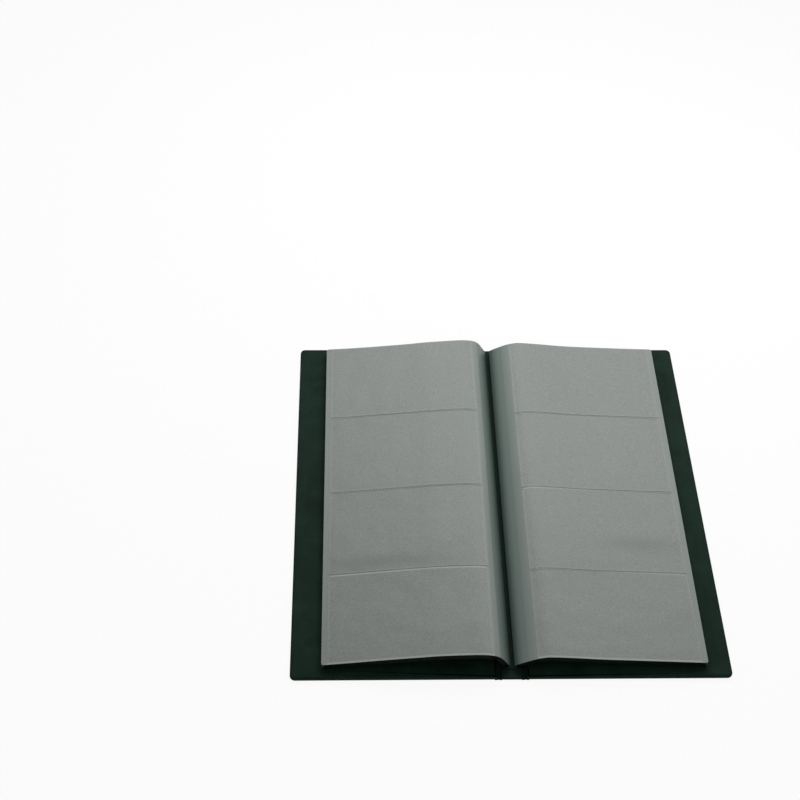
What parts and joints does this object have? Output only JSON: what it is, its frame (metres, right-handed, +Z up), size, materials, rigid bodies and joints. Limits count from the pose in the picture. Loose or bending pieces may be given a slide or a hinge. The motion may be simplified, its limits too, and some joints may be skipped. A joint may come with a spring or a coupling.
{
  "type": "business card book",
  "caption": "Open business card book: two padded covers on a soft spine, with a bound block of clear leaves whose welded pockets hold cards on both faces.",
  "frame": {"origin": "middle of the spine, on the surface that the open book lies on", "axes": "+X across the open book towards the back cover, +Y up the page towards the pocket mouths, +Z up"},
  "size_m": [0.2478, 0.255, 0.0129],
  "materials": {
    "leathercloth": "fine grained, satin",
    "greyboard": "raw grey paperboard",
    "lining": "fine grained, matt",
    "binding": "welded plastic strip",
    "leaf_sheet": "milky film",
    "pocket_film": "clear frosted film"
  },
  "bodies": {
    "spine": {"spine_skin": "leathercloth", "spine_board": "greyboard", "spine_lining": "lining", "binding_strip": "binding"},
    "front_cover": {"front_skin": "leathercloth", "front_board": "greyboard", "front_lining": "lining"},
    "back_cover": {"back_skin": "leathercloth", "back_board": "greyboard", "back_lining": "lining"},
    "left_margins": {"left_binding_margins": "leaf_sheet"},
    "right_margins": {"right_binding_margins": "leaf_sheet"},
    "left_leaf_1": {"left_leaf_1_sheet": "leaf_sheet", "left_leaf_1_pockets": "pocket_film", "left_leaf_1_seams": "pocket_film"},
    "left_leaf_2": {"left_leaf_2_sheet": "leaf_sheet", "left_leaf_2_pockets": "pocket_film", "left_leaf_2_seams": "pocket_film"},
    "left_leaf_3": {"left_leaf_3_sheet": "leaf_sheet", "left_leaf_3_pockets": "pocket_film", "left_leaf_3_seams": "pocket_film"},
    "left_leaf_4": {"left_leaf_4_sheet": "leaf_sheet", "left_leaf_4_pockets": "pocket_film", "left_leaf_4_seams": "pocket_film"},
    "left_leaf_5": {"left_leaf_5_sheet": "leaf_sheet", "left_leaf_5_pockets": "pocket_film", "left_leaf_5_seams": "pocket_film"},
    "right_leaf_1": {"right_leaf_1_sheet": "leaf_sheet", "right_leaf_1_pockets": "pocket_film", "right_leaf_1_seams": "pocket_film"},
    "right_leaf_2": {"right_leaf_2_sheet": "leaf_sheet", "right_leaf_2_pockets": "pocket_film", "right_leaf_2_seams": "pocket_film"},
    "right_leaf_3": {"right_leaf_3_sheet": "leaf_sheet", "right_leaf_3_pockets": "pocket_film", "right_leaf_3_seams": "pocket_film"},
    "right_leaf_4": {"right_leaf_4_sheet": "leaf_sheet", "right_leaf_4_pockets": "pocket_film", "right_leaf_4_seams": "pocket_film"},
    "right_leaf_5": {"right_leaf_5_sheet": "leaf_sheet", "right_leaf_5_pockets": "pocket_film", "right_leaf_5_seams": "pocket_film"}
  },
  "joints": [
    {"name": "front_cover_hinge", "type": "hinge", "parent": "spine", "child": "front_cover", "pos_m": [-0.00665, 0, 0.0005], "axis": [0, -1, 0], "range_deg": [-90, 0]},
    {"name": "left_margins_lean", "type": "hinge", "parent": "spine", "child": "left_margins", "pos_m": [-0.0039, 0, 0.0026], "axis": [0, -1, 0], "range_deg": [-32.01, 0]},
    {"name": "left_leaf_1_crease", "type": "hinge", "parent": "left_margins", "child": "left_leaf_1", "pos_m": [-0.00702, 0, 0.01127], "axis": [0, -1, 0], "range_deg": [-61.57, 0]},
    {"name": "left_leaf_2_turn", "type": "hinge", "parent": "left_leaf_1", "child": "left_leaf_2", "pos_m": [0.0007, 0, 0.01235], "axis": [0, 1, 0], "range_deg": [0, 180]},
    {"name": "left_leaf_3_turn", "type": "hinge", "parent": "left_leaf_2", "child": "left_leaf_3", "pos_m": [0.0007, 0, 0.01235], "axis": [0, 1, 0], "range_deg": [0, 180]},
    {"name": "left_leaf_4_turn", "type": "hinge", "parent": "left_leaf_3", "child": "left_leaf_4", "pos_m": [0.0007, 0, 0.01235], "axis": [0, 1, 0], "range_deg": [0, 180]},
    {"name": "left_leaf_5_turn", "type": "hinge", "parent": "left_leaf_4", "child": "left_leaf_5", "pos_m": [0.0007, 0, 0.01235], "axis": [0, 1, 0], "range_deg": [0, 180]},
    {"name": "back_cover_hinge", "type": "hinge", "parent": "spine", "child": "back_cover", "pos_m": [0.00665, 0, 0.0005], "axis": [0, 1, 0], "range_deg": [-90, 0]},
    {"name": "right_margins_lean", "type": "hinge", "parent": "spine", "child": "right_margins", "pos_m": [0.0039, 0, 0.0026], "axis": [0, 1, 0], "range_deg": [-50.01, 0]},
    {"name": "right_leaf_1_crease", "type": "hinge", "parent": "right_margins", "child": "right_leaf_1", "pos_m": [0.00847, 0, 0.00898], "axis": [0, 1, 0], "range_deg": [-42.23, 0]},
    {"name": "right_leaf_2_turn", "type": "hinge", "parent": "right_leaf_1", "child": "right_leaf_2", "pos_m": [0.0007, 0, 0.01235], "axis": [0, -1, 0], "range_deg": [0, 180]},
    {"name": "right_leaf_3_turn", "type": "hinge", "parent": "right_leaf_2", "child": "right_leaf_3", "pos_m": [0.0007, 0, 0.01235], "axis": [0, -1, 0], "range_deg": [0, 180]},
    {"name": "right_leaf_4_turn", "type": "hinge", "parent": "right_leaf_3", "child": "right_leaf_4", "pos_m": [0.0007, 0, 0.01235], "axis": [0, -1, 0], "range_deg": [0, 180]},
    {"name": "right_leaf_5_turn", "type": "hinge", "parent": "right_leaf_4", "child": "right_leaf_5", "pos_m": [0.0007, 0, 0.01235], "axis": [0, -1, 0], "range_deg": [0, 180]}
  ],
  "couplings": [
    {"joint": "left_margins_lean", "follows": "front_cover_hinge", "ratio": 0.35556},
    {"joint": "left_leaf_1_crease", "follows": "front_cover_hinge", "ratio": 0.68403},
    {"joint": "right_margins_lean", "follows": "back_cover_hinge", "ratio": 0.55556},
    {"joint": "right_leaf_1_crease", "follows": "back_cover_hinge", "ratio": 0.46915}
  ]
}
